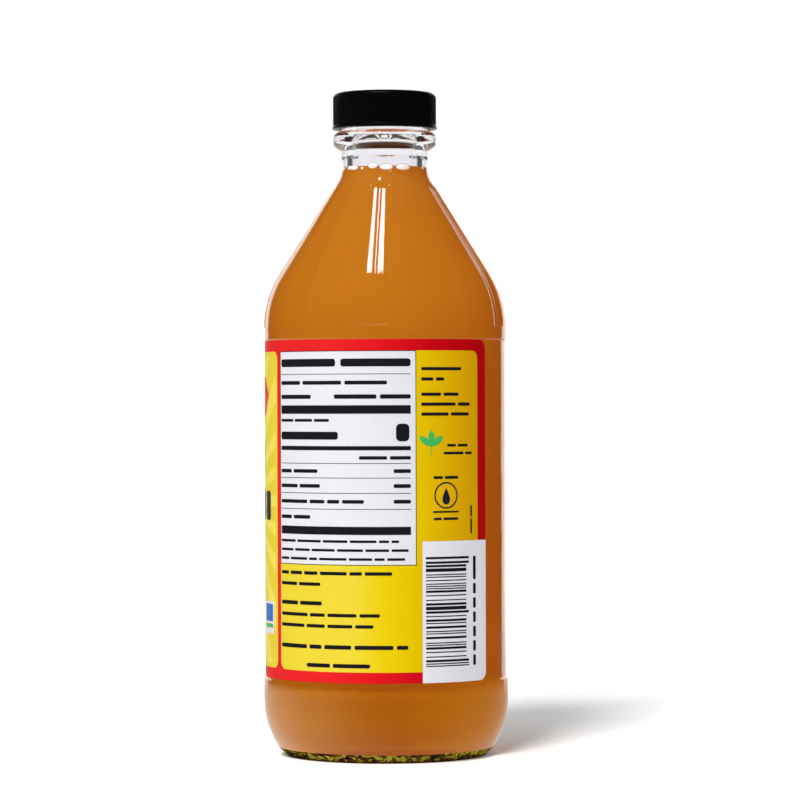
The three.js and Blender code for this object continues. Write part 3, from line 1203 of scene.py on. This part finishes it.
studio = {
    "floorColor": (0.98, 0.98, 0.98, 1),
    "floorSize": 12.0,  # metres
    "floorGlow": 0.11,
    "ambient": 0.26,
    "lensTint": (1, 1, 1, 1),
    "backdrop": 1.05,
    "glossBackdrop": 1.4,
    "glossTint": (1.0, 0.97, 0.90, 1),
    "glassTint": (0.89, 0.875, 0.945, 1),  # of the backdrop through the glass
    "refracted": 0.05,  # what refraction sees away from the backdrop
    "reflected": 0.02,  # and what reflections see
    "glassEdge": (0.81, 0.87),  # how squarely behind the backdrop starts, and is full, for refraction
    "glossEdge": (0.83, 0.87),  # and for reflections
    "floorEdge": (0.05, 0.09),  # how far below level reflections see the floor
    "floorLobes": [  # direction, where the lobe starts, strength: lit floor as reflections see it
        ((-0.70, 0.45, -0.55), -0.45, 1.15),
        ((0.45, 0.60, -0.66), 0.0, 0.55),
        ((0.0, -0.10, -0.99), 0.3, 0.22),
    ],
    "lampAim": (0, 0, 0.1),  # metres
    "sunDistance": 2.0,  # metres, as the other lamp's sizes are
    "fillPower": 0.6,
    "fillFrom": (-80.0, 25.0),
    "fillSoftness": 70.0,
    "keyPower": 2.75,
    "keyFrom": (-20.0, 43.0),  # azimuth, elevation
    "keySoftness": 14.0,
    "stripPower": 1.34,
    "stripFrom": (-0.133, -0.368, 0.920),
    "stripSize": (0.10, 0.25),
    "stripDistance": 1.1,
}


def addLamp(name, kind, direction, distance, power, **settings):
    data = bpy.data.lights.new(name, kind)
    data.energy = power
    for key, value in settings.items():
        setattr(data, key, value)
    lamp = bpy.data.objects.new(name, data)
    towards = Vector(direction).normalized()
    lamp.location = towards * distance + Vector(studio["lampAim"])
    lamp.rotation_euler = (-towards).to_track_quat("-Z", "Y").to_euler()
    scene.collection.objects.link(lamp)
    return lamp


def makeFloor():
    half = studio["floorSize"] / 2
    mesh = bpy.data.meshes.new("floor")
    corners = [(-half, -half, 0), (half, -half, 0), (half, half, 0), (-half, half, 0)]
    mesh.from_pydata(corners, [], [(0, 1, 2, 3)])
    material, tree, shader = newMaterial("paleFloor", {
        "Base Color": studio["floorColor"],
        "Roughness": 0.9,
        "Specular IOR Level": 0.0,
        "Emission Color": (1, 1, 1, 1),
    })
    path = addNode(tree, "ShaderNodeLightPath")
    glow = maths(tree, "MULTIPLY", path.outputs["Is Camera Ray"], studio["floorGlow"])
    link(tree, glow, shader.inputs["Emission Strength"])
    mesh.materials.append(material)
    floor = bpy.data.objects.new("floor", mesh)
    scene.collection.objects.link(floor)
    floor.visible_glossy = False


# an even sky for lighting; the lens, reflections and refraction see a white backdrop and dim sides
def makeWorld():
    world = bpy.data.worlds.new("studioWhite")
    scene.world = world
    world.use_nodes = True
    tree = world.node_tree
    background = tree.nodes["Background"]
    direction = addNode(tree, "ShaderNodeTexCoord").outputs["Generated"]
    path = addNode(tree, "ShaderNodeLightPath")

    def facing(towards):
        share = addNode(tree, "ShaderNodeVectorMath", operation="DOT_PRODUCT")
        link(tree, direction, share.inputs[0])
        share.inputs[1].default_value = towards
        return share.outputs["Value"]

    def edged(value, edge, low, high):
        return ramped(tree, value, *studio[edge], low, high, "SMOOTHSTEP")

    floorLight = None
    for towards, start, gain in studio["floorLobes"]:
        lobe = maths(tree, "POWER", ramped(tree, facing(towards), start, 1.0), 2.0)
        lobe = maths(tree, "MULTIPLY", lobe, gain)
        floorLight = lobe if floorLight is None else maths(tree, "ADD", floorLight, lobe)
    behind, below = facing((0, 1, 0)), facing((0, 0, -1))
    glossBehind = edged(behind, "glossEdge", studio["reflected"], studio["glossBackdrop"])
    glassBehind = edged(behind, "glassEdge", studio["refracted"], studio["backdrop"])
    underLevel = edged(below, "floorEdge", 0.0, 1.0)
    seen = [  # ray, strength, colour
        ("Is Glossy Ray", mixed(tree, "FLOAT", underLevel, glossBehind, floorLight), studio["glossTint"]),
        ("Is Transmission Ray", glassBehind, studio["glassTint"]),
        ("Is Camera Ray", studio["backdrop"], studio["lensTint"]),
    ]
    strength, color = studio["ambient"], studio["lensTint"]
    for ray, ownStrength, ownColor in seen:
        strength = mixed(tree, "FLOAT", path.outputs[ray], strength, ownStrength)
        color = mixed(tree, "RGBA", path.outputs[ray], color, ownColor)
    link(tree, strength, background.inputs["Strength"])
    link(tree, color, background.inputs["Color"])


def makeStudio():
    makeFloor()
    makeWorld()
    for name in ("key", "fill"):
        turn, rise = (math.radians(angle) for angle in studio[name + "From"])
        towards = (math.sin(turn) * math.cos(rise), -math.cos(turn) * math.cos(rise), math.sin(rise))
        softness = math.radians(studio[name + "Softness"])
        lamp = addLamp(
            name + "Sun", "SUN", towards, studio["sunDistance"], studio[name + "Power"], angle=softness,
        )
        lamp.visible_glossy = False
    wide, long = studio["stripSize"]
    addLamp(
        "stripSoftbox", "AREA", studio["stripFrom"], studio["stripDistance"], studio["stripPower"],
        shape="ELLIPSE", size=wide, size_y=long,
    )
    scene.view_settings.view_transform = "Standard"


makeStudio()
print("studio ready")
